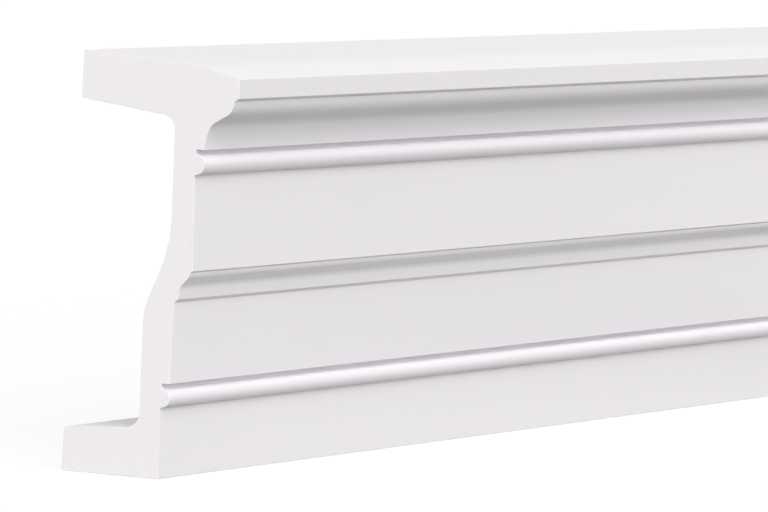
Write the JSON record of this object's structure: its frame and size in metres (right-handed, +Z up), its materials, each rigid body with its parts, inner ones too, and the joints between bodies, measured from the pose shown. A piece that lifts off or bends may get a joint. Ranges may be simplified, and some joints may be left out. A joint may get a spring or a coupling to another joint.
{
  "type": "architrave moulding",
  "caption": "Facade architrave moulding in white primed rigid foam: stepped fascias, quirked beads and a cyma crown, with an open channel behind.",
  "frame": {"origin": "centre of the bounding box in plan, at the level of the foot", "axes": "+X along the length, +Y into the wall that the moulding is fixed to, +Z up from the foot to the crown"},
  "size_m": [2, 0.0858, 0.21],
  "materials": {
    "primed_foam": "satin"
  },
  "bodies": {
    "root": {"architrave": "primed_foam"}
  },
  "joints": []
}
